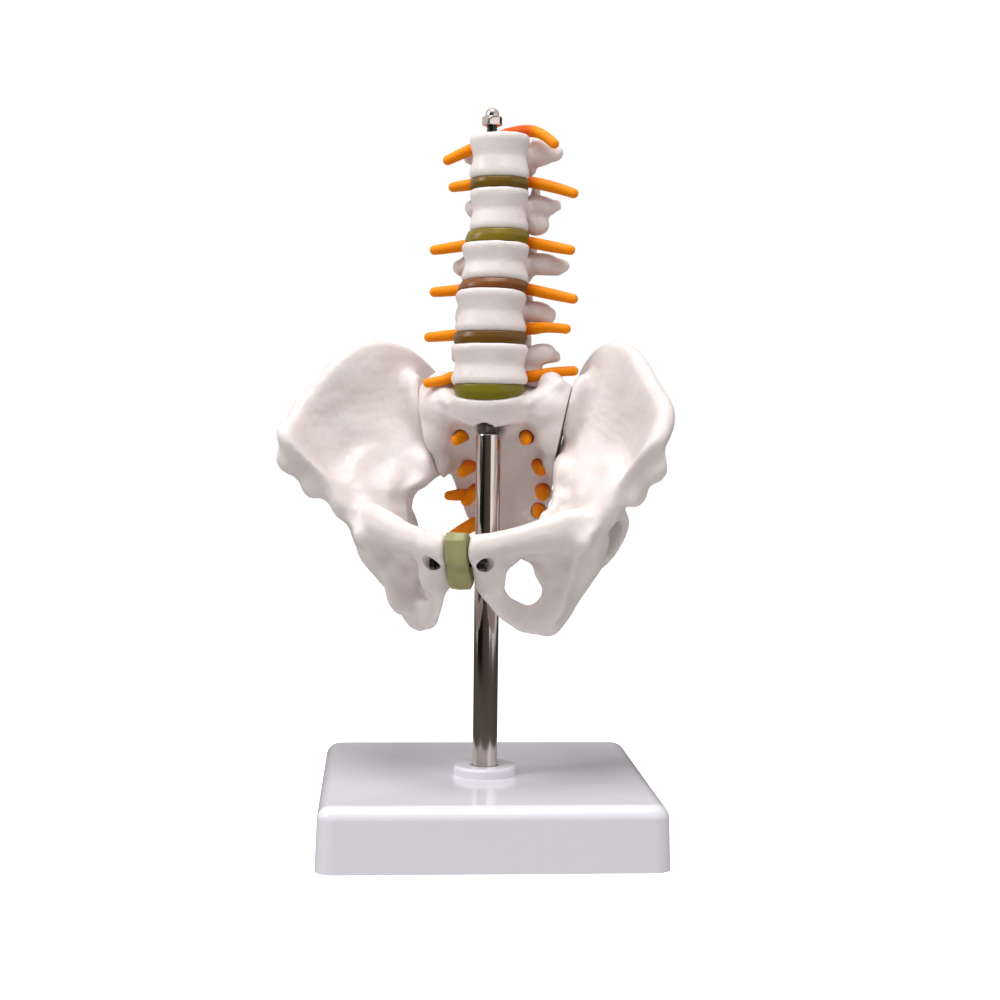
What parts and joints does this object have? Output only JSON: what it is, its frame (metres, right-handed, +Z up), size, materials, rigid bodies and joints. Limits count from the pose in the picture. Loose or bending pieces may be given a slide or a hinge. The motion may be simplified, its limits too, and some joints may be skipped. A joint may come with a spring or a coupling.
{
  "type": "spine anatomy model",
  "caption": "Half life-size teaching model of a pelvis with the lumbar vertebrae, discs and nerves, on a rod that stands in a square moulded base.",
  "frame": {"origin": "centre of the base's underside, on the surface that it stands on", "axes": "+Z up along the rod, +Y towards the back of the body, +X towards the left side of the body; the square base is turned 18.5 degrees about +Z"},
  "size_m": [0.1486, 0.1486, 0.2634],
  "materials": {
    "base_plastic": "gloss",
    "bone_plastic": "satin",
    "disc_vinyl": "translucent satin",
    "pubic_vinyl": "translucent satin",
    "nerve_vinyl": "satin",
    "polished_steel": "polished",
    "dark_steel": "dark satin"
  },
  "bodies": {
    "root": {"base": "base_plastic", "base_collar": "base_plastic", "base_washer": "dark_steel", "base_nut": "dark_steel", "stand_rod": "polished_steel", "rod_lock_nut": "dark_steel", "spine_stud": "dark_steel", "cap_nut": "polished_steel", "vertebra_l1": "bone_plastic", "vertebra_l2": "bone_plastic", "vertebra_l3": "bone_plastic", "vertebra_l4": "bone_plastic", "vertebra_l5": "bone_plastic", "disc_l1_l2": "disc_vinyl", "disc_l2_l3": "disc_vinyl", "disc_l3_l4": "disc_vinyl", "disc_l4_l5": "disc_vinyl", "disc_l5_s1": "disc_vinyl", "sacrum": "bone_plastic", "hip_bone_left": "bone_plastic", "hip_bone_right": "bone_plastic", "pubic_disc": "pubic_vinyl", "pubic_screw": "dark_steel", "pubic_nut": "dark_steel", "sacroiliac_screws": "dark_steel", "lumbar_nerves": "nerve_vinyl", "sacral_nerves_left": "nerve_vinyl", "sacral_nerves_right": "nerve_vinyl"}
  },
  "joints": []
}
